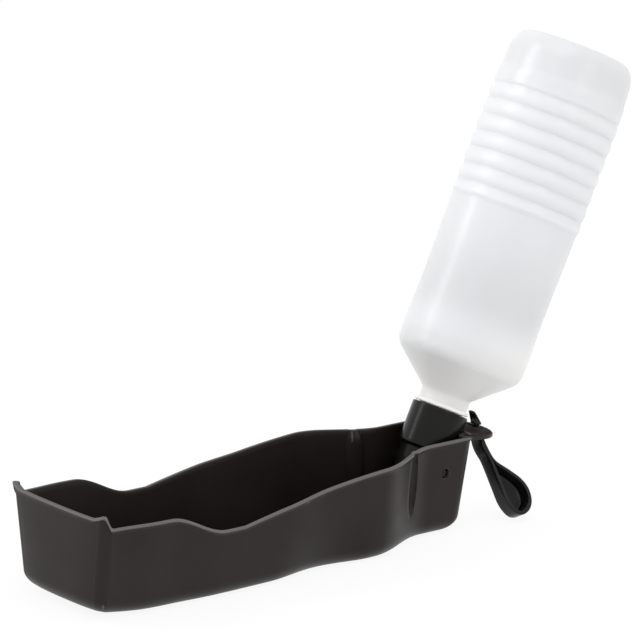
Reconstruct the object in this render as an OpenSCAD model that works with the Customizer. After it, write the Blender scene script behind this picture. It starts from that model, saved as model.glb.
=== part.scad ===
// Dog travel water bottle with a folding drinking tray.
// X runs along the tray, +X towards the hanging tab, Z up, Z = 0 on the tray's underside.
// X = 0, Y = 0 is the middle of the hinge pin, and the bottle is drawn tipped up, ready to pour.

/* [Bottle] */
// outside diameter of the bottle's plain wall
bottle_d = 64.5; // [60:0.5:68]
// distance from the hinge pin to the bottle's base
bottle_reach = 220; // [205:1:230]
// thickness of the bottle's wall
bottle_wall = 1.0; // [0.8:0.1:1.6]
// how far each rib stands out of its valley
rib_h = 0.8; // [0.3:0.1:1]
// spacing of the ribs along the bottle
rib_pitch = 8.6; // [7:0.2:10]
// outside radius of the neck that screws into the cap
finish_r = 11; // [10:0.25:11.5]

/* [Cap] */
// outside radius of the cap's screw collar
collar_r = 14.3; // [13.8:0.1:15]
// angle the bottle leans from upright when it rests in the tray's notch
lean = 24.9; // [20:0.1:30]
// length of the collar along the bottle
collar_len = 20.5; // [16:0.5:21]
// radius of the hinge pins on the cap
pin_r = 2.5; // [2:0.1:3]

/* [Tray] */
// height of the hinge pin over the tray's underside
pivot_h = 31.5; // [30:0.5:34]
// wall thickness of the tray
tray_wall = 1.9; // [1.5:0.1:2.4]
// how far the bead along the rim stands out of the wall
bead_t = 0.8; // [0.4:0.1:1.2]
// height of the rim at the hinge end
neck_rim_h = 47.8; // [46:0.2:50]
// height of the rim at the wide end's flat deck
deck_h = 46.4; // [44:0.2:48]
// height of the rim at the bottom of its dip
dip_h = 35.1; // [33:0.2:38]
// how far the end wall's lip stands above the deck
lip_rise = 4.8; // [3:0.2:6]
// radius of the rounding along the tray's underside
base_round = 7.5; // [6:0.5:9]

/* [Strap] */
// width of the rubber strap
strap_w = 8; // [6:0.5:9]
// angle the strap leans to the side where it hangs on the table
strap_lean = 28.5; // [26:0.5:34]

/* [Hidden] */
bottle_r = bottle_d / 2;
// tray outline, from the wide end at -X to the narrow end at +X
end_gap = 7.6;
deck_len = 38.4;
fall_len = 35;
dip_len = 11;
wide_len = 29;
taper_len = 27;
swell_0 = 6;
swell_1 = 34;
x_end = -(bottle_reach + end_gap);
x_deck = x_end + deck_len;
x_dip = x_deck + fall_len;
x_kink = x_dip + dip_len;
x_ramp = -40;
x_wide = x_kink + wide_len;
x_mid = x_wide + taper_len;
x_shoulder = -53;
x_pinch = -10;
x_tip = collar_r + 5.8;
wide_half = bottle_r + 6.55;
corner_half = bottle_r + 4.55;
mid_half = bottle_r + 4.45;
neck_half = collar_r + 6;
end_corner_r = 5;
tip_corner_r = 8;
end_draft = 0.05;
wide_draft = 0.125;
waist_in = 2.5;
waist_x = -88;
waist_half = 32;
deck_drop = 0.8;
mid_draft = 0.085;
neck_draft = 0.035;
tip_draft = 0.125;
end_bow = 1.4;
tip_bow = 0.3;
bead_h = 1.2;
bead_round = 0.4;
floor_t = 2;
ear_rise = 2;
// the underside curves up a little towards the wide end
rocker_len = 48;
rocker_h = 3.8;
flute_depth = 2;
flute_x = -24.5;
flute_z = 32;
// skin levels, from the rim down to the flat of the floor
bead_n = 4;
wall_n = 5;
round_n = 5;
outer_n = bead_n + wall_n + round_n;
inner_n = 1 + wall_n + round_n;
// points round one half of a level
tip_n = 3;
arc_n = 7;
side_n = 46;
end_n = 10;
half_n = tip_n + arc_n + side_n + arc_n + end_n;
loop_n = 2 * half_n;
// hinge
hole_gap = 0.08;
pin_recess = 0.8;
pin_face = neck_half - bead_t - neck_draft * (neck_rim_h - pivot_h) - pin_recess;
boss_face = pin_face + pin_recess - tray_wall - 0.6;
boss_r = 4.5;
// cap, measured along the bottle's axis from the pin
collar_s = 8.8;
deck_s = 11.2;
hub_r = 12.6;
nose_s = -12.5;
outlet_r = 3;
passage_r = 6;
valve_r = 8.6;
valve_s = 3;
valve_t = 1.2;
ring_t = 2.6;
washer_t = 1.3;
face_gap = 0.05;
collar_in_r = finish_r + 1.45;
lip_s = deck_s + washer_t + 2 * face_gap;
flange_s = collar_s + collar_len + 0.5;
notch_gap = 0.6;
// bottle, measured the same way
flange_r = collar_r - 0.4;
flange_t = 1.8;
throat_r = finish_r + 1.4;
finish_wall = 1.8;
edge_cut = 0.4;
shoulder_s = 58.5;
band_end_s = 76;
rib_n = 7;
base_r = 9;
rib_tail = 16.8;
rib_start_s = bottle_reach - base_r - rib_tail - rib_n * rib_pitch;
band_h = 0.5;
rib_out = 1.3;
base_in = 0.3;
rib_steps = 6;
// hanging tab
tab_t = 2.2;
tab_slope = 8;
tab_len = 23;
slot_x = 35.5;
slot_half_w = 2;
slot_half_l = strap_w / 2 + 1.8;
strap_z = neck_rim_h - 3.9;
strap_half_t = 1.2;
web_t = 1.6;

function clamp01(t) = min(1, max(0, t));
function ease(a, b, x) = let (t = clamp01((x - a) / (b - a))) t * t * (3 - 2 * t);

// half width of the tray over its bead at x
function rim_half(x) = wide_half
    - (wide_half - corner_half) * (1 - ease(x_end + swell_0, x_end + swell_1, x))
    - (wide_half - mid_half) * ease(x_wide, x_mid, x)
    - (mid_half - neck_half) * ease(x_shoulder, x_pinch, x);

// height of the side rim at x
function rim_z(x) = x < x_kink
    ? deck_h + deck_drop * clamp01((x_deck - x) / deck_len) - (deck_h - dip_h) * ease(x_deck, x_dip, x)
    : neck_rim_h - (neck_rim_h - dip_h) * pow(1 - clamp01((x - x_kink) / (x_ramp - x_kink)), 1.6);

// side wall's slope: how far it comes in for each millimetre down
function side_draft(x) = wide_draft
    - (wide_draft - mid_draft) * ease(x_wide, x_mid, x)
    - (mid_draft - neck_draft) * ease(x_shoulder, x_pinch, x);

// how far the side wall curves in at the waist, q below the rim
function waist(x, q) =
    waist_in * pow(max(0, 1 - pow((x - waist_x) / waist_half, 2)), 2) * pow(q / dip_h, 2);

// depth of the upright flute in both side walls
function flute(x, z) =
    let (h = 1 - pow((z - flute_z) / 18, 2), w = 4.2 * sqrt(max(0.01, h)))
    h <= 0 ? 0 : flute_depth * max(0, 1 - pow((x - flute_x) / w, 2));

// how far the underside has come up at x
function rocker(x) = rocker_h * pow(clamp01((x_end + rocker_len - x) / rocker_len), 2);

// height of the rim at point i of a half level
function top_z(i) =
    i < tip_n + arc_n ? neck_rim_h :
    i < tip_n + arc_n + side_n ?
        rim_z(station(i - tip_n - arc_n, x_end + end_corner_r, x_tip - tip_corner_r)) :
    i < tip_n + 2 * arc_n + side_n ?
        let (a = (i - tip_n - arc_n - side_n + 1) / arc_n)
        deck_h + deck_drop + (lip_rise + ear_rise - deck_drop) * ease(0.05, 0.55, a)
            - ear_rise / 2 * ease(0.65, 1, a) :
    let (a = (i - tip_n - 2 * arc_n - side_n + 1) / end_n)
    deck_h + lip_rise + ear_rise / 2 * (1 - ease(0, 0.3, a));

// place of side station j between the two corners
function station(j, xa, xb) = xb + (xa - xb) * pow((j + 0.5) / side_n, 1.3);

// plan point i of a half level: d is how far the skin has come in, q the height below the rim
function plan(i, d, q, z) =
    let (
        re = max(3, end_corner_r - 0.15 * d),
        rt = max(3, tip_corner_r - 0.3 * d),
        xe = x_end + bead_t + d + end_draft * q,
        xt = x_tip - d - tip_draft * q,
        xa = xe + re,
        xb = xt - rt,
        ya = rim_half(xa) - bead_t - d - side_draft(xa) * q,
        yb = rim_half(xb) - bead_t - d - side_draft(xb) * q
    )
    i < tip_n ? [xt + tip_bow * (1 - pow(i / tip_n, 2)), (yb - rt) * i / tip_n] :
    i < tip_n + arc_n ?
        let (a = 90 * (i - tip_n) / (arc_n - 1))
        [xb + rt * cos(a), yb - rt + rt * sin(a)] :
    i < tip_n + arc_n + side_n ?
        let (x = station(i - tip_n - arc_n, xa, xb))
        [x, rim_half(x) - bead_t - d - side_draft(x) * q - waist(x, q) - flute(x, z)] :
    i < tip_n + 2 * arc_n + side_n ?
        let (a = 90 * (i - tip_n - arc_n - side_n) / (arc_n - 1))
        [xa - re * sin(a), ya - re + re * cos(a)] :
    let (y = (ya - re) * (1 - pow((i - tip_n - 2 * arc_n - side_n + 1) / end_n, 1.7)))
    [xe - end_bow * (1 - pow(y / (ya - re), 3)), y];

// height and inset of outer level k under a rim point at height t
function outer_z(k, t) =
    k == 0 ? t :
    k == 1 ? t - bead_round :
    k == 2 ? t - bead_h :
    k < bead_n + wall_n ? t - bead_h - bead_t - (t - bead_h - bead_t - base_round) * (k - 3) / wall_n :
    base_round * (1 - sin(90 * (k - bead_n - wall_n + 1) / round_n));
function outer_d(k) =
    k == 0 ? bead_round - bead_t :
    k <= 2 ? -bead_t :
    k < bead_n + wall_n ? 0 :
    base_round * (1 - cos(90 * (k - bead_n - wall_n + 1) / round_n));

// the same for inner level k
inner_round = base_round - tray_wall;
function inner_z(k, t) =
    k == 0 ? t :
    k <= wall_n ? t - (t - floor_t - inner_round) * k / wall_n :
    floor_t + inner_round * (1 - sin(90 * (k - wall_n) / round_n));
function inner_d(k) = tray_wall
    + (k <= wall_n ? 0 : inner_round * (1 - cos(90 * (k - wall_n) / round_n)));

// one half level, then the whole level round the tray
function half_level(k, outside) = [
    for (i = [0 : half_n - 1])
        let (
            t = top_z(i),
            z = outside ? outer_z(k, t) : inner_z(k, t),
            d = outside ? outer_d(k) : inner_d(k),
            p = plan(i, d, t - z, z)
        )
        [p[0], p[1], z + rocker(p[0]) * (1 - z / t)]
];
function level(k, outside) =
    let (h = half_level(k, outside))
    concat(h, [for (i = [half_n - 1 : -1 : 1]) if (i < half_n - 1) [h[i][0], -h[i][1], h[i][2]]]);

ring_n = 2 * half_n - 2;
shell_n = outer_n + inner_n - 1;

module tray_shell() {
    outer = [for (k = [outer_n - 1 : -1 : 0]) each level(k, true)];
    inner = [for (k = [0 : inner_n - 1]) each level(k, false)];
    walls = [
        for (k = [0 : shell_n - 1], i = [0 : ring_n - 1])
            let (j = (i + 1) % ring_n, a = k * ring_n, b = a + ring_n)
            each [[a + i, b + i, b + j], [a + i, b + j, a + j]]
    ];
    top = shell_n * ring_n;
    under = [
        for (i = [0 : half_n - 2])
            let (m = (ring_n - i) % ring_n, n = ring_n - i - 1)
            each concat(
                i > 0 ? [[i, i + 1, m]] : [],
                i < half_n - 2 ? [[i + 1, n, m]] : []
            )
    ];
    floor = [for (f = under) [top + f[2], top + f[1], top + f[0]]];
    polyhedron(points = concat(outer, inner), faces = concat(under, walls, floor), convexity = 6);
}

// places its children along the bottle's axis, with the pin at the origin
module along_bottle() {
    translate([0, 0, pivot_h])
        rotate([0, lean, 0])
            children();
}

module hang_tab() {
    root = neck_half - 1;
    translate([x_tip - 2, 0, neck_rim_h])
        rotate([0, tab_slope, 0])
            translate([0, 0, -tab_t])
                linear_extrude(tab_t)
                    polygon([
                        for (a = [-90 : 7.5 : 90])
                            [tab_len * pow(cos(a), 0.75), root * sin(a)]
                    ]);
}

module tray() color([0.17, 0.16, 0.155]) {
    difference() {
        union() {
            tray_shell();
            hang_tab();
        }
        translate([0, 0, pivot_h])
            rotate([90, 0, 0])
                cylinder(r = pin_r + hole_gap, h = 3 * neck_half, center = true, $fn = 48);
        along_bottle()
            translate([0, 0, collar_s - 0.8])
                cylinder(r = collar_r + notch_gap, h = 3 * collar_len, $fn = 96);
        translate([slot_x, 0, strap_z])
            linear_extrude(6 * tab_t, center = true) {
                for (y = [-1, 1])
                    translate([0, y * (slot_half_l - slot_half_w)])
                        circle(r = slot_half_w, $fn = 32);
                square([2 * slot_half_w, 2 * (slot_half_l - slot_half_w)], center = true);
            }
    }
}

module cap() color([0.05, 0.05, 0.055]) {
    along_bottle()
        rotate_extrude($fn = 72)
            polygon(concat(
                [for (a = [0 : 15 : 75]) [outlet_r + 1.6 + 7 * sin(a), nose_s + 7 * (1 - cos(a))]],
                [
                    [hub_r - 0.4, 0],
                    [hub_r, 2],
                    [hub_r, collar_s - 1.4],
                    [collar_r - 0.6, collar_s - 0.6],
                    [collar_r, collar_s],
                    [collar_r, collar_s + collar_len - 0.6],
                    [collar_r - 0.6, collar_s + collar_len],
                    [collar_in_r, collar_s + collar_len],
                    [collar_in_r, deck_s],
                    [valve_r + 0.1, deck_s],
                    [valve_r + 0.1, valve_s],
                    [passage_r, valve_s],
                    [passage_r, nose_s + 6],
                    [outlet_r, nose_s + 3],
                    [outlet_r, nose_s]
                ]
            ));
    translate([0, 0, pivot_h])
        for (y = [-1, 1])
            rotate([y * 90, 0, 0]) {
                translate([0, 0, hub_r - 1.8])
                    cylinder(r = boss_r, h = boss_face - hub_r + 1.8, $fn = 48);
                translate([0, 0, hub_r - 1.8])
                    cylinder(r = pin_r, h = pin_face - hub_r + 1.8, $fn = 48);
            }
}

// outside of the bottle from the flange to the base, as radius and place
function ribbed(j) =
    let (s = rib_start_s + j * rib_pitch / rib_steps)
    [bottle_r + rib_out - rib_h / 2 * (1 - cos(360 * j / rib_steps - 40)), s];
cone_a = 41;
shoulder_r = 9;
cone_top = [bottle_r - shoulder_r * (1 - sin(cone_a)), shoulder_s - shoulder_r * cos(cone_a)];
cone_foot_s = cone_top[1] - (cone_top[0] - throat_r) * tan(cone_a);

module bottle() color([0.86, 0.88, 0.9]) {
    along_bottle()
        rotate_extrude($fn = 60)
            polygon(concat(
                [
                    [finish_r - finish_wall, lip_s],
                    [finish_r - edge_cut, lip_s],
                    [finish_r, lip_s + edge_cut],
                    [finish_r, flange_s],
                    [flange_r, flange_s],
                    [flange_r, flange_s + flange_t - edge_cut],
                    [flange_r - edge_cut, flange_s + flange_t],
                    [throat_r, flange_s + flange_t],
                    [throat_r, cone_foot_s]
                ],
                [
                    for (a = [0 : 0.2 : 1])
                        [
                            bottle_r - shoulder_r + shoulder_r * sin(cone_a + (90 - cone_a) * a),
                            shoulder_s - shoulder_r * cos(cone_a + (90 - cone_a) * a)
                        ]
                ],
                [
                    [bottle_r + band_h, shoulder_s + 1.2],
                    [bottle_r + band_h, band_end_s - 0.6],
                    [bottle_r, band_end_s],
                    [bottle_r, rib_start_s - 0.8]
                ],
                [for (j = [0 : rib_n * rib_steps - 2]) ribbed(j)],
                [[bottle_r + rib_out - rib_h / 2, rib_start_s + rib_n * rib_pitch + 1.2]],
                [
                    for (a = [0 : 15 : 90])
                        [
                            bottle_r - base_in - base_r * (1 - cos(a)),
                            bottle_reach - base_r + base_r * sin(a)
                        ]
                ],
                [[0, bottle_reach]],
                [[0, bottle_reach - bottle_wall]],
                [
                    for (a = [90 : -18 : 0])
                        [
                            bottle_r - base_in - bottle_wall - (base_r - bottle_wall) * (1 - cos(a)),
                            bottle_reach - base_r + (base_r - bottle_wall) * sin(a)
                        ]
                ],
                [
                    for (a = [1 : -0.25 : 0])
                        [
                            bottle_r - shoulder_r
                                + (shoulder_r - bottle_wall) * sin(cone_a + (90 - cone_a) * a),
                            shoulder_s - (shoulder_r - bottle_wall) * cos(cone_a + (90 - cone_a) * a)
                        ]
                ],
                [
                    [throat_r - bottle_wall, cone_foot_s + bottle_wall],
                    [throat_r - bottle_wall, flange_s + flange_t],
                    [finish_r - finish_wall, flange_s - 1]
                ]
            ));
}

module seal_washer() color([0.75, 0.75, 0.73]) {
    along_bottle()
        translate([0, 0, deck_s + face_gap])
            difference() {
                cylinder(r = collar_in_r - 0.35, h = washer_t, $fn = 64);
                translate([0, 0, -1])
                    cylinder(r = finish_r - finish_wall - 0.1, h = washer_t + 2, $fn = 64);
            }
}

module slit_valve() color([0.8, 0.8, 0.78]) {
    along_bottle()
        translate([0, 0, valve_s])
            difference() {
                cylinder(r = valve_r, h = valve_t, $fn = 64);
                for (a = [0, 90])
                    rotate([0, 0, a])
                        cube([6, 0.3, 4 * valve_t], center = true);
            }
}

module valve_retainer() color([0.1, 0.1, 0.1]) {
    along_bottle()
        translate([0, 0, valve_s + valve_t])
            difference() {
                cylinder(r = valve_r + 0.1, h = ring_t, $fn = 64);
                translate([0, 0, -1])
                    cylinder(r = passage_r, h = ring_t + 2, $fn = 64);
            }
}

// outline of the strap below the tab: across, then down from the slot
strap_out = [
    [strap_half_t, 0], [strap_half_t, 8], [2.5, 12.9], [3.8, 16.7], [5.4, 18.7], [11.7, 24], [17.3, 29.6],
    [20.4, 35.4], [20.2, 41.4], [17.4, 45.4], [12.8, 47.4], [8.4, 46.6], [5.4, 42.8],
    [3.6, 38], [2.6, 30], [1, 17.4], [-1.6, 9.8], [-strap_half_t, 8], [-strap_half_t, 0]
];
// the hollow in its front
strap_in = [
    [2.7, 16.6], [4.3, 20.3], [10.4, 25.6], [15.6, 30.8], [18.1, 35.7], [17.7, 40.4],
    [15, 43.6], [11.6, 45.3], [9.4, 44.8], [7, 41.8], [5.6, 37.6], [4.6, 30], [3.2, 20.6]
];
// the hook above the tab that keeps it in the slot: across, then up from the slot
strap_hook = [
    [-strap_half_t, 2.6], [strap_half_t, 2], [3.2, 1.8], [3.6, 2.3], [3.2, 3.2], [2, 4.9], [0.6, 7],
    [-0.9, 9], [-2.2, 9.8], [-3.2, 9.6], [-3.5, 9.1], [-2.8, 8.5], [-1.7, 7.6], [-1.1, 6.6],
    [-1.2, 5.4], [-1.7, 4.4], [-1.9, 3.2]
];
hook_w = 0.35 * strap_w;

module strap_flat(points, flip, y0, width) {
    rotate([90, 0, 0])
        translate([0, 0, y0])
            linear_extrude(width)
                polygon([for (p = points) [p[0], flip * p[1]]]);
}

module strap() color([0.04, 0.04, 0.042]) {
    translate([slot_x, 0, strap_z]) {
        rotate([-strap_lean, 0, 0])
            difference() {
                strap_flat(strap_out, -1, -strap_w / 2, strap_w);
                strap_flat(strap_in, -1, web_t - strap_w / 2, strap_w);
            }
        translate([0, 0, strap_half_t])
            cube([2 * strap_half_t, strap_w, 4 * strap_half_t], center = true);
        strap_flat(strap_hook, 1, -hook_w / 2, hook_w);
    }
}

tray();
cap();
bottle();
seal_washer();
slit_valve();
valve_retainer();
strap();
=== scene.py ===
import math
import bpy
import bmesh
import numpy as np
from mathutils import Matrix, Vector
from mathutils.geometry import tessellate_polygon


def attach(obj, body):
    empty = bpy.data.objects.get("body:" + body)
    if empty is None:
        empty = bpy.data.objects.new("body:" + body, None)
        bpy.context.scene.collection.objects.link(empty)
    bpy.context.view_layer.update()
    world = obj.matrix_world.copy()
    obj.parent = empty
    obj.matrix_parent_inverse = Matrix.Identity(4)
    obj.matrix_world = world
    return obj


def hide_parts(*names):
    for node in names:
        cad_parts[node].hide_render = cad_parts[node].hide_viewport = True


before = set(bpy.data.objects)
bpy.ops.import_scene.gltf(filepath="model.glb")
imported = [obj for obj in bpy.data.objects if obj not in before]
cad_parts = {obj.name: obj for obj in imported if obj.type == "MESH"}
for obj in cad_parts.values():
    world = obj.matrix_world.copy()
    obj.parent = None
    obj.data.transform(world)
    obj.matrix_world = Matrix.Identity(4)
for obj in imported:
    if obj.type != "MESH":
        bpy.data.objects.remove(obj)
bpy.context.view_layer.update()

MM = 0.001
scene = bpy.context.scene


# ---------------------------------------------------------------- helpers
def clamp01(t):
    return np.clip(t, 0.0, 1.0)


def ease(a, b, x):
    t = clamp01((np.asarray(x, float) - a) / (b - a))
    return t * t * (3 - 2 * t)


def link(name, mesh):
    ob = bpy.data.objects.new(name, mesh)
    scene.collection.objects.link(ob)
    return ob


def smooth(ob, angle=35.0):
    """Smooth shading with creases kept sharp above the angle."""
    me = ob.data
    me.polygons.foreach_set("use_smooth", [True] * len(me.polygons))
    bm = bmesh.new()
    bm.from_mesh(me)
    lim = math.radians(angle)
    for e in bm.edges:
        if len(e.link_faces) == 2:
            e.smooth = e.calc_face_angle(0.0) < lim
    bm.to_mesh(me)
    bm.free()
    me.update()


def mesh_from(name, verts, faces):
    me = bpy.data.meshes.new(name)
    me.from_pydata([tuple(v) for v in verts], [], faces)
    me.validate()
    bm = bmesh.new()
    bm.from_mesh(me)
    bmesh.ops.recalc_face_normals(bm, faces=bm.faces)
    bm.to_mesh(me)
    bm.free()
    return link(name, me)


def lathe(name, prof, seg, mat4, closed=False):
    """Turns a profile of (radius, place) in mm round Z, then places it."""
    prof = np.asarray(prof, float)
    n = len(prof)
    verts, faces = [], []
    for k in range(n):
        r, s = prof[k]
        for j in range(seg):
            a = 2 * math.pi * j / seg
            verts.append((r * math.cos(a) * MM, r * math.sin(a) * MM, s * MM))
    last = n if closed else n - 1
    for k in range(last):
        a0 = k * seg
        b0 = ((k + 1) % n) * seg
        for j in range(seg):
            j2 = (j + 1) % seg
            faces.append((a0 + j, a0 + j2, b0 + j2, b0 + j))
    ob = mesh_from(name, verts, faces)
    bm = bmesh.new()
    bm.from_mesh(ob.data)
    bmesh.ops.remove_doubles(bm, verts=bm.verts, dist=2e-6)
    bmesh.ops.recalc_face_normals(bm, faces=bm.faces)
    bm.to_mesh(ob.data)
    bm.free()
    ob.data.transform(mat4)
    return ob


def boolean(ob, other, op):
    """Applies a boolean to the mesh and removes the other object."""
    m = ob.modifiers.new("b", "BOOLEAN")
    m.operation = op
    m.solver = "EXACT"
    m.object = other
    dg = bpy.context.evaluated_depsgraph_get()
    me = bpy.data.meshes.new_from_object(ob.evaluated_get(dg))
    ob.modifiers.clear()
    old = ob.data
    ob.data = me
    bpy.data.meshes.remove(old)
    bpy.data.objects.remove(other)


# ---------------------------------------------------------------- materials
def new_mat(name):
    m = bpy.data.materials.new(name)
    m.use_nodes = True
    nt = m.node_tree
    return m, nt, nt.nodes["Principled BSDF"]


def node(nt, kind, **props):
    n = nt.nodes.new(kind)
    for k, v in props.items():
        setattr(n, k, v)
    return n


def ramp(nt, src, stops):
    r = node(nt, "ShaderNodeValToRGB")
    el = r.color_ramp.elements
    while len(el) < len(stops):
        el.new(0.5)
    for e, (p, c) in zip(el, stops):
        e.position = p
        e.color = c if len(c) == 4 else (*c, 1)
    nt.links.new(src, r.inputs[0])
    return r.outputs[0]


def noise(nt, scale, detail=3.0, rough=0.5, vec=None):
    n = node(nt, "ShaderNodeTexNoise")
    n.inputs["Scale"].default_value = scale
    n.inputs["Detail"].default_value = detail
    n.inputs["Roughness"].default_value = rough
    if vec is None:
        tc = node(nt, "ShaderNodeTexCoord")
        vec = tc.outputs["Object"]
    nt.links.new(vec, n.inputs["Vector"])
    return n.outputs["Fac"]


def bump(nt, bs, height, dist, strength=1.0, before=None):
    b = node(nt, "ShaderNodeBump")
    b.inputs["Distance"].default_value = dist
    b.inputs["Strength"].default_value = strength
    nt.links.new(height, b.inputs["Height"])
    if before is not None:
        nt.links.new(before, b.inputs["Normal"])
    nt.links.new(b.outputs["Normal"], bs.inputs["Normal"])
    return b.outputs["Normal"]


def math_node(nt, op, a, b):
    n = node(nt, "ShaderNodeMath", operation=op)
    for k, v in enumerate((a, b)):
        if hasattr(v, "links"):
            nt.links.new(v, n.inputs[k])
        else:
            n.inputs[k].default_value = v
    return n.outputs[0]


def moulded(name, dark, light, rough_lo, rough_hi, grain, grain_depth, wear_and_highlight_col, edge_amt, hollow_shade, rim=None):
    """Moulded plastic or rubber: cloudy colour, uneven gloss, fine grain, rubbed edges, painted shade in the
    hollows, and optionally a painted highlight from a mesh attribute.
    """
    m, nt, bs = new_mat(name)
    col = ramp(nt, noise(nt, 22, 4, 0.6), [(0.3, dark), (0.72, light)])
    point = node(nt, "ShaderNodeNewGeometry").outputs["Pointiness"]
    # painted shade: concave places (low pointiness) are darkened, as shade would fall in them
    painted_hollow_shade = ramp(nt, point, [(0.42, (hollow_shade, hollow_shade, hollow_shade)), (0.49, (1, 1, 1))])
    mul = node(nt, "ShaderNodeMix", data_type="RGBA", blend_type="MULTIPLY")
    mul.inputs["Factor"].default_value = 1.0
    nt.links.new(col, mul.inputs["A"])
    nt.links.new(painted_hollow_shade, mul.inputs["B"])
    worn = ramp(nt, point, [(0.535, (0, 0, 0)), (0.60, (1, 1, 1))])
    patchy = ramp(nt, noise(nt, 160, 3, 0.6), [(0.35, (0.55, 0.55, 0.55)), (0.7, (1, 1, 1))])
    wear_and_highlight_amt = math_node(nt, "MULTIPLY", math_node(nt, "MULTIPLY", worn, patchy), edge_amt)
    # painted highlight: where the mesh attribute is set, the colour is lightened towards the worn-edge colour
    if rim is not None:
        at = node(nt, "ShaderNodeAttribute", attribute_name="rim")
        wear_and_highlight_amt = math_node(nt, "MAXIMUM", wear_and_highlight_amt, math_node(nt, "MULTIPLY", at.outputs["Fac"], rim))
    mix = node(nt, "ShaderNodeMix", data_type="RGBA")
    nt.links.new(wear_and_highlight_amt, mix.inputs["Factor"])
    nt.links.new(mul.outputs["Result"], mix.inputs["A"])
    mix.inputs["B"].default_value = (*wear_and_highlight_col, 1)
    nt.links.new(mix.outputs["Result"], bs.inputs["Base Color"])
    rr = node(nt, "ShaderNodeMapRange")
    rr.inputs["From Min"].default_value = 0.3
    rr.inputs["From Max"].default_value = 0.7
    rr.inputs["To Min"].default_value = rough_lo
    rr.inputs["To Max"].default_value = rough_hi
    nt.links.new(noise(nt, 60, 4, 0.55), rr.inputs["Value"])
    nt.links.new(rr.outputs["Result"], bs.inputs["Roughness"])
    n1 = bump(nt, bs, noise(nt, 9, 2, 0.4), 0.0006, 0.12)
    bump(nt, bs, noise(nt, grain, 3, 0.6), grain_depth, 0.5, before=n1)
    return m, nt, bs


# the tray gets painted shade in its hollows and a painted highlight along the rim bead and the flute's lip
tray_mat, tn, tb = moulded("tray_plastic", (0.0120, 0.0086, 0.0076), (0.0160, 0.0120, 0.0108), 0.34, 0.44,
                           1500, 0.00006, (0.16, 0.15, 0.14), 0.55, 0.55, rim=0.7)
tb.inputs["Specular IOR Level"].default_value = 0.2
tg = node(tn, "ShaderNodeNewGeometry")
ts = node(tn, "ShaderNodeSeparateXYZ")
tn.links.new(tg.outputs["Normal"], ts.inputs[0])
tr = node(tn, "ShaderNodeMapRange")
for key, value in (("From Min", 0.7), ("From Max", 0.97), ("To Min", 0.2), ("To Max", 0.06)):
    tr.inputs[key].default_value = value
tn.links.new(ts.outputs["Z"], tr.inputs["Value"])
tn.links.new(tr.outputs["Result"], tb.inputs["Specular IOR Level"])
tq = node(tn, "ShaderNodeMapRange")
for key, value in (("From Min", 0.7), ("From Max", 0.97), ("To Min", 0.0), ("To Max", 0.35)):
    tq.inputs[key].default_value = value
tn.links.new(ts.outputs["Z"], tq.inputs["Value"])
gloss = tb.inputs["Roughness"].links[0].from_socket
tn.links.new(math_node(tn, "ADD", gloss, tq.outputs["Result"]), tb.inputs["Roughness"])
cap_mat, _, cb = moulded("cap_plastic", (0.0040, 0.0036, 0.0032), (0.0065, 0.0060, 0.0055), 0.20, 0.28,
                         900, 0.00003, (0.05, 0.05, 0.05), 0.4, 0.6)
cb.inputs["Specular IOR Level"].default_value = 0.2
strap_mat, _, sb = moulded("strap_rubber", (0.0035, 0.0034, 0.0033), (0.0060, 0.0058, 0.0056), 0.20, 0.28,
                           1100, 0.00003, (0.06, 0.06, 0.06), 0.5, 0.6)
sb.inputs["Specular IOR Level"].default_value = 0.24
seal_mat, _, _ = moulded("seal_rubber", (0.62, 0.62, 0.59), (0.70, 0.70, 0.67), 0.4, 0.55, 900, 0.00004,
                         (0.74, 0.74, 0.72), 0.3, 0.8)


def milky(name):
    """Milky translucent blow-moulded bottle: cloudy wall thickness, soft gloss, faint flow lines, and painted light
    on the cone end.
    """
    m, nt, bs = new_mat(name)
    cloud = noise(nt, 12, 2, 0.5)
    body = ramp(nt, cloud, [(0.3, (0.745, 0.755, 0.778)), (0.7, (0.770, 0.780, 0.802))])
    # painted light: the cone end (low Object Z) is painted lighter than the body for the floor bounce it faces, and
    # warmer as a painted reflection of the brown tray
    foot = ramp(nt, cloud, [(0.3, (0.885, 0.860, 0.828)), (0.7, (0.905, 0.882, 0.852))])
    place = node(nt, "ShaderNodeTexCoord")
    part = node(nt, "ShaderNodeSeparateXYZ")
    nt.links.new(place.outputs["Object"], part.inputs[0])
    up = node(nt, "ShaderNodeMapRange", interpolation_type="SMOOTHSTEP")
    up.inputs["From Min"].default_value = 0.072
    up.inputs["From Max"].default_value = 0.108
    nt.links.new(part.outputs["Z"], up.inputs["Value"])
    body_and_painted_cone_tone = node(nt, "ShaderNodeMix", data_type="RGBA")
    nt.links.new(up.outputs["Result"], body_and_painted_cone_tone.inputs["Factor"])
    nt.links.new(foot, body_and_painted_cone_tone.inputs["A"])
    nt.links.new(body, body_and_painted_cone_tone.inputs["B"])
    nt.links.new(body_and_painted_cone_tone.outputs["Result"], bs.inputs["Base Color"])
    rr = node(nt, "ShaderNodeMapRange")
    rr.inputs["From Min"].default_value = 0.3
    rr.inputs["From Max"].default_value = 0.7
    rr.inputs["To Min"].default_value = 0.30
    rr.inputs["To Max"].default_value = 0.36
    nt.links.new(noise(nt, 30, 2, 0.5), rr.inputs["Value"])
    nt.links.new(rr.outputs["Result"], bs.inputs["Roughness"])
    bs.inputs["Subsurface Weight"].default_value = 0.75
    bs.inputs["Subsurface Radius"].default_value = (0.005, 0.0049, 0.0048)
    bs.inputs["Subsurface Scale"].default_value = 1.0
    bs.inputs["IOR"].default_value = 1.5
    bump(nt, bs, noise(nt, 260, 2, 0.5), 0.00002, 0.3)
    return m


bottle_mat = milky("bottle_plastic")


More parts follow.
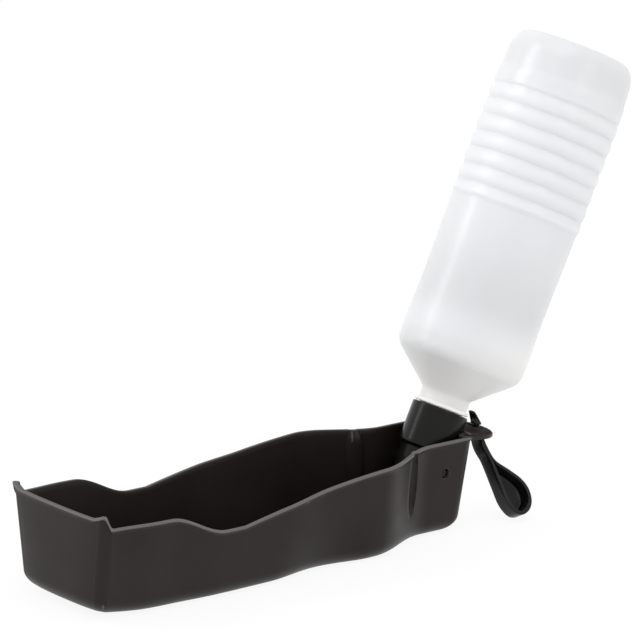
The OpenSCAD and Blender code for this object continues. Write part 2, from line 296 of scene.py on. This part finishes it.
def seen_share(nt):
    """1 for camera, glossy and transmission rays, which see plain white; 0 for the rest."""
    lp = node(nt, "ShaderNodeLightPath")
    both = [node(nt, "ShaderNodeMath", operation="MAXIMUM") for _ in range(2)]
    nt.links.new(lp.outputs["Is Glossy Ray"], both[0].inputs[0])
    nt.links.new(lp.outputs["Is Transmission Ray"], both[0].inputs[1])
    nt.links.new(lp.outputs["Is Camera Ray"], both[1].inputs[0])
    nt.links.new(both[0].outputs[0], both[1].inputs[1])
    return both[1].outputs[0]


def dress(ob, mat):
    ob.data.materials.clear()
    ob.data.materials.append(mat)


# ---------------------------------------------------------------- the tray
BOTTLE_R, REACH, COLLAR_R, FINISH_R = 32.25, 220.0, 14.3, 11.0
PIVOT_H, WALL, BEAD = 31.5, 1.9, 0.8
NECK_H, DECK_H, DIP_H, LIP, EAR, DECK_DROP = 47.8, 46.4, 35.1, 4.8, 2.0, 0.8
ROUND, FLOOR = 7.5, 2.0
X_END = -(REACH + 7.6)
X_DECK = X_END + 38.4
X_DIP = X_DECK + 35
X_KINK = X_DIP + 11
X_WIDE = X_KINK + 29
X_MID = X_WIDE + 27
X_RAMP, X_SH, X_PI = -40.0, -53.0, -10.0
X_TIP = COLLAR_R + 5.8
WIDE_H, CORNER_H, MID_H, NECK_HALF = BOTTLE_R + 6.55, BOTTLE_R + 4.55, BOTTLE_R + 4.45, COLLAR_R + 6
RE, RT, BOW, TIP_BOW = 5.0, 8.0, 1.4, 0.3
ROCK_LEN, ROCK_H = 48.0, 3.8
# slopes of the walls: how far each comes in for a millimetre down
SIDE_DRAFT, MID_DRAFT_LESS, NECK_DRAFT_LESS, END_DRAFT, TIP_DRAFT, NECK_DRAFT = 0.125, 0.04, 0.05, 0.05, 0.125, 0.035
WAIST_X, WAIST_HALF, WAIST_IN = -88, 32, 2.5
FLUTE_X, FLUTE_Z, FLUTE_HALF_H, FLUTE_HALF_W, FLUTE_DEPTH = -24.5, 32, 18, 4.2, 2.3
PIN_HOLE_R, PIN_RECESS = 2.58, 0.8
SLOT_X, SLOT_HALF_W, SLOT_HALF_L = 35.5, 2.0, 5.8
STRAP_LEAN = math.radians(-28.5)
LEAN = math.radians(24.9)
ALONG = Matrix.Translation((0, 0, PIVOT_H * MM)) @ Matrix.Rotation(LEAN, 4, "Y")


def rim_half(x):
    return (WIDE_H - (WIDE_H - CORNER_H) * (1 - ease(X_END + 6, X_END + 34, x))
            - (WIDE_H - MID_H) * ease(X_WIDE, X_MID, x) - (MID_H - NECK_HALF) * ease(X_SH, X_PI, x))


def rim_z(x):
    x = np.asarray(x, float)
    a = DECK_H + DECK_DROP * clamp01((X_DECK - x) / 38.4) - (DECK_H - DIP_H) * ease(X_DECK, X_DIP, x)
    b = NECK_H - (NECK_H - DIP_H) * (1 - clamp01((x - X_KINK) / (X_RAMP - X_KINK))) ** 1.6
    return np.where(x < X_KINK, a, b)


def side_draft(x):
    return SIDE_DRAFT - MID_DRAFT_LESS * ease(X_WIDE, X_MID, x) - NECK_DRAFT_LESS * ease(X_SH, X_PI, x)


def waist(x, q):
    """How far the side curves in at the waist, q below the rim."""
    return WAIST_IN * np.maximum(0, 1 - ((x - WAIST_X) / WAIST_HALF) ** 2) ** 2 * (q / DIP_H) ** 2


def flute(x, z):
    """Lens-shaped hollow with crisp sides."""
    h = np.maximum(0, 1 - ((z - FLUTE_Z) / FLUTE_HALF_H) ** 2)
    u = np.abs((x - FLUTE_X) / (FLUTE_HALF_W * np.sqrt(np.maximum(0.01, h))))
    return FLUTE_DEPTH * np.maximum(0, 1 - u ** 2) ** 0.5 * np.minimum(1, 1.6 * h)


def rocker(x):
    return ROCK_H * clamp01((X_END + ROCK_LEN - x) / ROCK_LEN) ** 2


# the rim's section from the outside to the inside: how far in, and height below the top
RIM = [(-0.05, -2.35), (-0.25, -2.1), (-0.55, -1.8), (-0.74, -1.45), (-0.8, -1.1), (-0.76, -0.75),
       (-0.62, -0.42), (-0.38, -0.18), (-0.05, -0.04), (0.35, 0), (0.8, 0), (1.2, -0.05), (1.5, -0.18),
       (1.75, -0.42), (1.87, -0.75)]


def tray_levels():
    """Outer skin from the underside up to the rim, over it, then the inner skin down to the floor.
    Each level is (kind, how far in, height rule)."""
    lv = []
    for a in np.linspace(90, 0, 13):
        lv.append(("base_out", ROUND * (1 - math.cos(math.radians(a))), ROUND * (1 - math.sin(math.radians(a)))))
    for t in np.linspace(0, 1, 27)[1:]:
        lv.append(("wall_out", 0.0, t))
    for d, z in RIM:
        lv.append(("bead", d, z))
    ir = ROUND - WALL
    for t in np.linspace(1, 0, 22)[1:]:
        lv.append(("wall_in", WALL, t))
    for a in np.linspace(0, 90, 11)[1:]:
        lv.append(("base_in", WALL + ir * (1 - math.cos(math.radians(a))), FLOOR + ir * (1 - math.sin(math.radians(a)))))
    return lv


def side_stations(count):
    """Shares of the way along the side, closer together at the flute and the corner."""
    t = np.linspace(0, 1, 4001)
    x = (X_TIP - RT) + ((X_END + RE) - (X_TIP - RT)) * t
    dens = 1 + 7 * np.exp(-((x - FLUTE_X) / 6.5) ** 4) + 1.2 * np.exp(-((x - X_END - RE) / 10) ** 2)
    cum = np.cumsum(dens)
    cum = (cum - cum[0]) / (cum[-1] - cum[0])
    return np.interp((np.arange(count) + 0.5) / count, cum, t)


def build_tray():
    tip_n, arc_n, side_n, end_n = 7, 25, 230, 30
    # half of each level, from the narrow end's middle round +Y to the wide end's middle
    half = tip_n + arc_n + side_n + arc_n + end_n
    share = side_stations(side_n)
    side = slice(tip_n + arc_n, tip_n + arc_n + side_n)
    corner = slice(tip_n + arc_n + side_n, half - end_n)
    last = slice(half - end_n, half)
    top = np.full(half, NECK_H)
    top[side] = rim_z((X_TIP - RT) + ((X_END + RE) - (X_TIP - RT)) * share)
    a = (np.arange(arc_n) + 1) / arc_n
    top[corner] = (DECK_H + DECK_DROP + (LIP + EAR - DECK_DROP) * ease(0.05, 0.55, a) - EAR / 2 * ease(0.65, 1, a))
    b = (np.arange(end_n) + 1) / end_n
    top[last] = DECK_H + LIP + EAR / 2 * (1 - ease(0, 0.3, b))
    ir = ROUND - WALL
    rows = []
    for kind, d, rule in tray_levels():
        foot = ROUND if kind.endswith("out") else FLOOR + ir
        if kind.startswith("base"):
            z = np.full(half, rule)
        elif kind == "wall_out":
            z = foot + (top - 2.5 - foot) * rule
        elif kind == "wall_in":
            z = foot + (top - 1.1 - foot) * rule
        else:
            z = top + rule
        q = top - z
        re = max(3.0, RE - 0.15 * max(d, 0))
        rt = max(3.0, RT - 0.3 * d)
        xe = X_END + BEAD + d + END_DRAFT * q
        xt = X_TIP - d - TIP_DRAFT * q
        xa, xb = xe + re, xt - rt
        ya = rim_half(xa) - BEAD - d - side_draft(xa) * q
        yb = rim_half(xb) - BEAD - d - side_draft(xb) * q
        x, y = np.empty(half), np.empty(half)
        s = slice(0, tip_n)
        x[s] = xt[s] + TIP_BOW * (1 - (np.arange(tip_n) / tip_n) ** 2)
        y[s] = (yb[s] - rt) * np.arange(tip_n) / tip_n
        s = slice(tip_n, tip_n + arc_n)
        g = np.radians(90 * np.arange(arc_n) / (arc_n - 1))
        x[s] = xb[s] + rt * np.cos(g)
        y[s] = yb[s] - rt + rt * np.sin(g)
        x[side] = xb[side] + (xa[side] - xb[side]) * share
        xs, qs = x[side], q[side]
        y[side] = rim_half(xs) - BEAD - d - side_draft(xs) * qs - waist(xs, qs) - flute(xs, z[side])
        x[corner] = xa[corner] - re * np.sin(g)
        y[corner] = ya[corner] - re + re * np.cos(g)
        y[last] = (ya[last] - re) * (1 - b ** 1.7)
        x[last] = xe[last] - BOW * (1 - (y[last] / (ya[last] - re)) ** 3)
        z = z + rocker(x) * (1 - z / top)
        ring = np.stack([x, y, z], 1)
        mirror = ring[1:-1][::-1] * np.array([1, -1, 1])
        rows.append(np.concatenate([ring, mirror]))
    n = len(rows[0])
    verts = np.concatenate(rows) * MM
    faces = []
    for k in range(len(rows) - 1):
        a0, b0 = k * n, (k + 1) * n
        for i in range(n):
            i2 = (i + 1) % n
            faces.append((a0 + i, a0 + i2, b0 + i2, b0 + i))
    # the underside and the floor are strips across, because they curve up at the wide end
    for base, flip in ((0, True), ((len(rows) - 1) * n, False)):
        for i in range(half - 1):
            m0, m1 = (n - i) % n, n - i - 1
            quad = [base + i, base + i + 1, base + m1, base + m0]
            quad = [v for k, v in enumerate(quad) if v not in quad[:k]]
            if len(quad) > 2:
                faces.append(tuple(reversed(quad)) if flip else tuple(quad))
    ob = mesh_from("tray_body", verts, faces)
    # painted highlight: a point attribute lightens the top of the rim bead and the flute's lip
    at = ob.data.attributes.new("rim", "FLOAT", "POINT")
    highlight_paint = []
    for kind, d, rule in tray_levels():
        highlight_paint += [float(ease(-1.25, -0.75, rule) * (1 - ease(0.9, 1.7, d))) if kind == "bead" else 0.0] * n
    # painted highlight: the flute's lip towards the wide end is painted bright, on the outer skin
    outside = np.repeat([kind == "wall_out" for kind, _, _ in tray_levels()], n)
    co = np.array([v.co[:] for v in ob.data.vertices]) / MM
    h = 1 - ((co[:, 2] - FLUTE_Z) / FLUTE_HALF_H) ** 2
    lip = FLUTE_X - FLUTE_HALF_W * np.sqrt(np.maximum(0.01, h)) - 0.5
    highlight_paint = np.maximum(highlight_paint, 0.7 * outside * (h > 0.04) * np.exp(-((co[:, 0] - lip) / 0.6) ** 2))
    at.data.foreach_set("value", highlight_paint)
    return ob


def build_tab():
    """Tongue with a rounded edge that carries the rim on past the narrow end."""
    slope, length, root, t = math.radians(8), 23.0, NECK_HALF - 1, 2.2
    ang = np.radians(np.linspace(-90, 90, 73))
    outline = np.stack([length * np.cos(ang) ** 0.75, root * np.sin(ang)], 1)
    outline = np.concatenate([[[-6, -root]], outline, [[-6, root]]])
    rows = []
    r = 1.0
    for a in np.linspace(-90, 90, 13):
        ins = r * (1 - math.cos(math.radians(a)))
        z = -t / 2 + (t / 2 - r) * np.sign(a) + r * math.sin(math.radians(a)) if a else -t / 2
        p = outline.copy()
        p[:, 0] *= 1 - ins / length
        p[:, 1] *= 1 - ins / root
        rows.append(np.column_stack([p, np.full(len(p), z)]))
    n = len(outline)
    verts = np.concatenate(rows) * MM
    faces = []
    for k in range(len(rows) - 1):
        for i in range(n):
            i2 = (i + 1) % n
            faces.append((k * n + i, k * n + i2, (k + 1) * n + i2, (k + 1) * n + i))
    faces.append(tuple(range(n - 1, -1, -1)))
    faces.append(tuple((len(rows) - 1) * n + i for i in range(n)))
    ob = mesh_from("tab", verts, faces)
    ob.data.transform(Matrix.Translation(((X_TIP - 2) * MM, 0, NECK_H * MM)) @ Matrix.Rotation(slope, 4, "Y"))
    return ob


def rod(name, r, z0, z1, mat4, seg=64):
    return lathe(name, [(0, z0), (r, z0), (r, z1), (0, z1)], seg, mat4)


tray = build_tray()
boolean(tray, build_tab(), "UNION")
across = Matrix.Translation((0, 0, PIVOT_H * MM)) @ Matrix.Rotation(math.pi / 2, 4, "X")
boolean(tray, rod("c", PIN_HOLE_R, -40, 40, across), "DIFFERENCE")
boolean(tray, rod("c", COLLAR_R + 0.6, 8, 62, ALONG, 128), "DIFFERENCE")


def slot_cutter(x, half_w, half_l, z0, z1):
    pts = []
    for mid, start in ((half_l - half_w, 0), (-(half_l - half_w), 180)):
        for a in np.radians(np.linspace(start, start + 180, 17)):
            pts.append((x + half_w * math.cos(a), mid + half_w * math.sin(a)))
    n = len(pts)
    verts = [(p[0] * MM, p[1] * MM, z * MM) for z in (z0, z1) for p in pts]
    faces = [(i, (i + 1) % n, n + (i + 1) % n, n + i) for i in range(n)]
    faces += [tuple(range(n - 1, -1, -1)), tuple(range(n, 2 * n))]
    return mesh_from("cut", verts, faces)


boolean(tray, slot_cutter(SLOT_X, SLOT_HALF_W, SLOT_HALF_L, 37, 51), "DIFFERENCE")
tray.name = "tray_moulding"
smooth(tray, 38)
dress(tray, tray_mat)
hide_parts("tray")
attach(tray, "tray_body")

# ---------------------------------------------------------------- the cap
prof = []
for a in range(0, 91, 6):
    r = math.radians(a)
    prof.append((4.6 + 7.0 * math.sin(r), -12.5 + 7.0 * (1 - math.cos(r))))
prof += [(12.2, 0), (12.55, 2), (12.6, 7.2)]
prof += [(12.75, 7.8), (13.3, 8.2), (13.7, 8.3)]
prof += [(14.05, 8.45), (14.25, 8.75), (14.3, 9.2), (14.3, 10.4), (14.3, 18), (14.3, 28.3)]
for a in range(0, 91, 15):
    r = math.radians(a)
    prof.append((13.5 + 0.8 * math.cos(r), 28.5 + 0.8 * math.sin(r)))
prof += [(12.45, 29.3), (12.45, 11.2), (8.7, 11.2), (8.7, 3), (6, 3), (6, -6.5), (3, -9.5), (3, -12.1),
         (3.2, -12.5)]
cap = lathe("cap_moulding", prof, 160, ALONG, closed=True)
smooth(cap, 40)
dress(cap, cap_mat)
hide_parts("cap")
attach(cap, "cap_body")

PIN_FACE = NECK_HALF - BEAD - NECK_DRAFT * (NECK_H - PIVOT_H) - PIN_RECESS
BOSS_FACE = PIN_FACE + PIN_RECESS - WALL - 0.6
for side, name in ((1, "left"), (-1, "right")):
    turn = Matrix.Translation((0, 0, PIVOT_H * MM)) @ Matrix.Rotation(-side * math.pi / 2, 4, "X")
    p = [(0, 10.8), (4.9, 10.8), (4.7, 12.4), (4.5, 13.2), (4.5, BOSS_FACE - 0.3), (4.2, BOSS_FACE),
         (2.5, BOSS_FACE), (2.5, PIN_FACE - 0.6), (2.3, PIN_FACE - 0.3), (1.9, PIN_FACE - 0.2),
         (0, PIN_FACE - 0.2)]
    pin = lathe("hinge_pin_" + name, p, 64, turn)
    smooth(pin, 40)
    dress(pin, cap_mat)
    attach(pin, "cap_body")

# ---------------------------------------------------------------- the bottle
FLANGE_S = 29.8
FLANGE_R = COLLAR_R - 0.4
THROAT = FINISH_R + 1.4
CONE = math.radians(41)
SHR, SHS = 9.0, 58.5
FIRST_RIB, RIB_PITCH = 135, 8.6
cone_top = (BOTTLE_R - SHR * (1 - math.sin(CONE)), SHS - SHR * math.cos(CONE))
cone_foot = cone_top[1] - (cone_top[0] - THROAT) * math.tan(CONE)


def bottle_outer():
    p = [(9.2, 12.6), (10.5, 12.6), (10.9, 12.8), (11, 13.1), (11, FLANGE_S), (FLANGE_R - 0.35, FLANGE_S),
         (FLANGE_R - 0.1, FLANGE_S + 0.15), (FLANGE_R, FLANGE_S + 0.45), (FLANGE_R, FLANGE_S + 1.25),
         (FLANGE_R - 0.12, FLANGE_S + 1.6), (FLANGE_R - 0.4, FLANGE_S + 1.8), (THROAT + 0.3, FLANGE_S + 1.85),
         (THROAT + 0.05, FLANGE_S + 2.1), (THROAT, FLANGE_S + 2.5)]
    # foot of the cone: a small inside rounding, then the cone and the shoulder
    fr = 2.4
    c0 = (THROAT + fr, cone_foot - fr * math.tan((math.pi / 2 - CONE) / 2))
    for a in np.linspace(0, math.pi / 2 - CONE, 7):
        p.append((c0[0] - fr * math.cos(a), c0[1] + fr * math.sin(a)))
    for t in np.linspace(0, 1, 12):
        a = CONE + (math.pi / 2 - CONE) * t
        p.append((BOTTLE_R - SHR + SHR * math.sin(a), SHS - SHR * math.cos(a)))
    for t in np.linspace(0.1, 1, 8):
        p.append((BOTTLE_R + 0.3 * float(ease(0, 1, t)), 58.8 + 7 * t))
    body_s = [69, 71, 73, 75, 77, 79, 81, 84, 90, 100, 110, 120, 130]
    body_r = [32.5, 32.45, 32.36, 32.25, 32.14, 32.05, 31.99, 31.95, 31.93, 32.02, 32.2, 32.35, 32.4]
    p += list(zip(body_r, body_s))
    # grip ribs: round crests, tight valleys
    for s in np.linspace(131, 196, 216):
        k = float(ease(131, 134.6, s) * (1 - ease(190.4, 193.6, s)))
        w = math.sqrt(math.cos(math.pi * (s - FIRST_RIB) / RIB_PITCH) ** 2 + 0.01)
        p.append((32.42 + 0.3 * float(ease(188, 192, s)) * (1 - k) + (0.7 * w - 0.04) * k, s))
    p += [(32.7, 197.2), (32.5, 198.8), (32.2, 200.4), (32.05, 202), (31.95, 204), (31.85, 206), (31.65, 208)]
    for a in np.linspace(8, 90, 16):
        r = math.radians(a)
        p.append((31.65 - 7.75 * (1 - math.cos(r)), 208.2 + 11.8 * math.sin(r)))
    for t in np.linspace(0, 1, 8)[1:]:
        p.append((23.9 * (1 - t), 220 - 1.6 * math.sin(t * math.pi / 2) ** 2))
    return p


def bottle_inner():
    p = []
    for t in np.linspace(1, 0, 8)[:-1]:
        p.append((23.5 * (1 - t), 219 - 1.6 * math.sin(t * math.pi / 2) ** 2))
    for a in np.linspace(90, 0, 12):
        r = math.radians(a)
        p.append((30.6 - 7.1 * (1 - math.cos(r)), 208.2 + 10.8 * math.sin(r)))
    for s in np.linspace(200, 136, 30):
        p.append((31.0 if s > 199 else 31.35, s))
    for s in np.linspace(130, 62, 10):
        p.append((31.0, s))
    for t in np.linspace(1, 0, 10):
        a = CONE + (math.pi / 2 - CONE) * t
        p.append((BOTTLE_R - SHR + (SHR - 1) * math.sin(a), SHS - (SHR - 1) * math.cos(a)))
    p += [(THROAT - 1, cone_foot + 0.8), (THROAT - 1, FLANGE_S + 2), (9.2, FLANGE_S - 1)]
    return p


bottle = lathe("bottle_shell", bottle_outer() + bottle_inner(), 180, ALONG, closed=True)
smooth(bottle, 42)
dress(bottle, bottle_mat)
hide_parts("bottle")
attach(bottle, "bottle_body")


def thread():
    """Round-topped screw thread on the bottle's neck."""
    turns, pitch, s0 = 1.25, 3.2, 17.0
    n = int(turns * 72)
    verts, faces = [], []
    sec = [(10.9, -1.0), (11.35, -0.7), (11.85, -0.25), (11.85, 0.25), (11.35, 0.7), (10.9, 1.0)]
    m = len(sec)
    for i in range(n + 1):
        a = 2 * math.pi * turns * i / n
        fade = float(min(1, ease(0, 0.06, i / n), ease(0, 0.06, 1 - i / n)))
        for r, s in sec:
            rr = 10.9 + (r - 10.9) * fade
            verts.append((rr * math.cos(a) * MM, rr * math.sin(a) * MM, (s0 + pitch * a / (2 * math.pi) + s) * MM))
    for i in range(n):
        for j in range(m):
            j2 = (j + 1) % m
            faces.append((i * m + j, i * m + j2, (i + 1) * m + j2, (i + 1) * m + j))
    faces += [tuple(range(m - 1, -1, -1)), tuple(n * m + j for j in range(m))]
    ob = mesh_from("bottle_thread", verts, faces)
    ob.data.transform(ALONG)
    return ob


th = thread()
smooth(th, 50)
dress(th, bottle_mat)
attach(th, "bottle_body")

# ---------------------------------------------------------------- small inner pieces keep their solids
for nd, mat in (("seal_washer", seal_mat), ("slit_valve", seal_mat), ("valve_retainer", cap_mat)):
    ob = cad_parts[nd]
    ob.data.materials.clear()
    ob.data.materials.append(mat)

# ---------------------------------------------------------------- the strap
STRAP_X, STRAP_Z, STRAP_W = SLOT_X, NECK_H - 3.9, 8.0
OUT = [(1.2, 0), (1.25, 4), (1.5, 8.4), (2.5, 12.9), (3.8, 16.7), (5.8, 19.3), (11.7, 24.2), (17.3, 29.6),
       (20.2, 35.2), (20.1, 41.2), (17.4, 45.4), (12.8, 47.4), (8.4, 46.4), (5.4, 42.8), (3.6, 38), (2.6, 30),
       (1, 17.4), (-0.6, 12.4), (-1.4, 8.6), (-1.25, 4), (-1.2, 0)]
INN = [(2.7, 16.9), (4.3, 20.3), (10.4, 25.6), (15.6, 30.8), (18.1, 35.7), (17.9, 40.4), (15.4, 43.6), (12, 45.3),
       (9.4, 44.6), (7, 41.6), (5.6, 37.6), (4.6, 30), (3.3, 21)]
HOOK = [(-1.2, -2.6), (1.2, -2.6), (1.2, -0.5), (1.3, 1.2), (2.2, 1.75), (3.2, 1.8), (3.55, 2.3), (3.2, 3.2),
        (2, 4.9), (0.6, 7), (-0.9, 9), (-2.2, 9.8), (-3.2, 9.6), (-3.5, 9.1), (-2.8, 8.5), (-1.7, 7.6), (-1.1, 6.6),
        (-1.2, 5.4), (-1.7, 4.4), (-1.9, 3.2), (-1.4, 2.6), (-1.2, 0.8)]
HOOK_W = 2.8


def catmull(pts, per=6, closed=False):
    pts = [np.array(p, float) for p in pts]
    n = len(pts)
    out = []
    rng = range(n) if closed else range(n - 1)
    for i in rng:
        p0 = pts[(i - 1) % n] if (closed or i > 0) else pts[i]
        p1, p2 = pts[i], pts[(i + 1) % n]
        p3 = pts[(i + 2) % n] if (closed or i + 2 < n) else p2
        for k in range(per):
            t = k / per
            out.append(0.5 * ((2 * p1) + (-p0 + p2) * t + (2 * p0 - 5 * p1 + 4 * p2 - p3) * t * t
                              + (-p0 + 3 * p1 - 3 * p2 + p3) * t ** 3))
    if not closed:
        out.append(pts[-1])
    return np.array(out)


def inset(poly, d):
    """Moves each point of a closed outline inwards by d along its normal."""
    nxt = np.roll(poly, -1, 0)
    prv = np.roll(poly, 1, 0)
    t = nxt - prv
    t /= np.linalg.norm(t, axis=1)[:, None] + 1e-9
    area = 0.5 * np.sum(poly[:, 0] * nxt[:, 1] - nxt[:, 0] * poly[:, 1])
    nrm = np.stack([-t[:, 1], t[:, 0]], 1) * (1 if area > 0 else -1)
    return poly + nrm * d


def loft(name, rings, cap=True):
    n = len(rings[0])
    verts = np.concatenate(rings) * MM
    faces = []
    for k in range(len(rings) - 1):
        for i in range(n):
            i2 = (i + 1) % n
            faces.append((k * n + i, k * n + i2, (k + 1) * n + i2, (k + 1) * n + i))
    if cap:
        faces.append(tuple(range(n - 1, -1, -1)))
        faces.append(tuple((len(rings) - 1) * n + i for i in range(n)))
    return mesh_from(name, verts, faces)


def fill_between(loops):
    """Triangles of the flat region inside the first loop and outside the others, as index triples."""
    return tessellate_polygon([[Vector((float(x), float(y), 0)) for x, y in lp] for lp in loops])


def build_strap():
    out = catmull(OUT, 6)
    inn = catmull(INN, 6, closed=True)
    h = STRAP_W / 2
    n, m = len(out), len(inn)
    verts, faces = [], []

    def add(poly, y):
        start = len(verts)
        verts.extend((p[0] * MM, -y * MM, -p[1] * MM) for p in poly)
        return start

    def skin(a, b, count):
        for i in range(count):
            j = (i + 1) % count
            faces.append((a + i, a + j, b + j, b + i))

    # outside: rounded back edge, side wall, rounded front edge
    rows = [(0.8 * (1 - math.sin(t)), -h + 0.8 * (1 - math.cos(t))) for t in np.linspace(0, math.pi / 2, 6)]
    rows += [(0.0, -h * 0.3), (0.0, h * 0.4)]
    rows += [(0.8 * (1 - math.cos(t)), h - 0.8 * (1 - math.sin(t))) for t in np.linspace(0, math.pi / 2, 7)]
    first = prev = None
    for d, y in rows:
        cur = add(inset(out, d), y)
        if prev is None:
            first = cur
        else:
            skin(prev, cur, n)
        prev = cur
    back = inset(out, rows[0][0])
    faces.extend([(first + i, first + j, first + k) for i, j, k in fill_between([back])])
    # front face between the outline and the pocket, whose edge is rounded too
    rows = [(-0.45 + 0.45 * math.sin(t), h - 0.45 * (1 - math.cos(t))) for t in np.linspace(0, math.pi / 2, 4)]
    rows += [(0.05, h * 0.4), (0.1, -h + 3.0), (0.4, -h + 2.1), (1.0, -h + 1.7)]
    lip_out, lip_in = inset(out, 0.8), inset(inn, rows[0][0])
    top = prev
    start = cur = add(lip_in, rows[0][1])
    index = [top + i for i in range(n)] + [start + i for i in range(m)]
    faces.extend([(index[i], index[j], index[k]) for i, j, k in fill_between([lip_out, lip_in])])
    prev = start
    for d, y in rows[1:]:
        cur = add(inset(inn, d), y)
        skin(prev, cur, m)
        prev = cur
    bed = inset(inn, rows[-1][0])
    faces.extend([(prev + i, prev + j, prev + k) for i, j, k in fill_between([bed])])
    body = mesh_from("strap_moulding", verts, faces)
    hung = Matrix.Translation((STRAP_X * MM, 0, STRAP_Z * MM))
    body.data.transform(hung @ Matrix.Rotation(STRAP_LEAN, 4, "X"))

    hook = catmull(HOOK, 4, closed=True)
    rows = []
    for sign, turn in ((-1, np.linspace(0, math.pi / 2, 6)), (1, np.linspace(math.pi / 2, 0, 6))):
        for t in turn:
            ring = inset(hook, 0.6 * (1 - math.sin(t)))
            y = sign * (HOOK_W / 2 - 0.6 * (1 - math.cos(t)))
            rows.append(np.column_stack([ring[:, 0], np.full(len(ring), y), ring[:, 1]]))
    top = loft("hook", rows)
    top.data.transform(hung)
    bm = bmesh.new()
    bm.from_mesh(body.data)
    bm.from_mesh(top.data)
    bm.to_mesh(body.data)
    bm.free()
    bpy.data.objects.remove(top)
    return body


strap = build_strap()
smooth(strap, 40)
dress(strap, strap_mat)
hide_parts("strap")
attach(strap, "strap_body")

# ---------------------------------------------------------------- floor, light and camera
def build_floor():
    me = bpy.data.meshes.new("floor")
    s = 6.0
    me.from_pydata([(-s, -s, 0), (s, -s, 0), (s, s, 0), (-s, s, 0)], [], [(0, 1, 2, 3)])
    ob = link("floor", me)
    m = bpy.data.materials.new("floor")
    m.use_nodes = True
    nt = m.node_tree
    bs = nt.nodes["Principled BSDF"]
    bs.inputs["Base Color"].default_value = (0.95, 0.95, 0.95, 1)
    bs.inputs["Roughness"].default_value = 0.9
    em = node(nt, "ShaderNodeEmission")
    em.inputs["Color"].default_value = (1, 1, 1, 1)
    em.inputs["Strength"].default_value = 1.0
    mix = node(nt, "ShaderNodeMixShader")
    fac = node(nt, "ShaderNodeMath", operation="MULTIPLY")
    fac.inputs[1].default_value = 0.90
    nt.links.new(seen_share(nt), fac.inputs[0])
    nt.links.new(fac.outputs[0], mix.inputs[0])
    nt.links.new(bs.outputs[0], mix.inputs[1])
    nt.links.new(em.outputs[0], mix.inputs[2])
    nt.links.new(mix.outputs[0], nt.nodes["Material Output"].inputs["Surface"])
    ob.data.materials.append(m)
    return ob


build_floor()

world = bpy.data.worlds.new("studio")
scene.world = world
world.use_nodes = True
wn = world.node_tree
bg = wn.nodes["Background"]
bg.inputs["Color"].default_value = (1.0, 1.0, 1.0, 1)
bg.inputs["Strength"].default_value = 1.0
bg2 = node(wn, "ShaderNodeBackground")
bg2.inputs["Color"].default_value = (1, 1, 1, 1)
bg2.inputs["Strength"].default_value = 1.0
wmix = node(wn, "ShaderNodeMixShader")
wn.links.new(seen_share(wn), wmix.inputs[0])
wn.links.new(bg.outputs[0], wmix.inputs[1])
wn.links.new(bg2.outputs[0], wmix.inputs[2])
wn.links.new(wmix.outputs[0], wn.nodes["World Output"].inputs["Surface"])


def lamp(name, loc, aim, size, size_y, power, color=(1, 1, 1)):
    ld = bpy.data.lights.new(name, "AREA")
    ld.shape = "RECTANGLE"
    ld.size, ld.size_y = size, size_y
    ld.energy = power
    ld.color = color
    ob = bpy.data.objects.new(name, ld)
    scene.collection.objects.link(ob)
    ob.location = loc
    ob.rotation_euler = (Vector(aim) - Vector(loc)).to_track_quat("-Z", "Y").to_euler()
    return ob


lamp("key", (-1.387, 1.083, 1.35), (-0.02, 0, 0.12), 0.3, 1.25, 10.5)
lamp("fill", (-0.02, -1.81, 0.95), (-0.02, 0, 0.12), 0.25, 0.7, 3.4)
lamp("top", (-0.5, -0.5, 2.0), (-0.05, 0, 0.05), 1.2, 0.9, 5)

az, el, roll = math.radians(-40.93), math.radians(15.63), math.radians(2.17)
right = Vector((math.cos(az), math.sin(az), 0))
back = Vector((math.sin(az) * math.cos(el), -math.cos(az) * math.cos(el), math.sin(el)))
up = back.cross(right)
r2 = right * math.cos(roll) + up * math.sin(roll)
u2 = up * math.cos(roll) - right * math.sin(roll)
cam = bpy.data.cameras.new("camera")
cam.sensor_width = 36
cam.lens = 319.6
cam.clip_start, cam.clip_end = 0.05, 30
cob = bpy.data.objects.new("camera", cam)
scene.collection.objects.link(cob)
rot = Matrix((r2, u2, back)).transposed()
cob.matrix_world = Matrix.Translation((-1.79497, -1.99090, 0.85322)) @ rot.to_4x4()
scene.camera = cob
scene.view_settings.view_transform = "Standard"
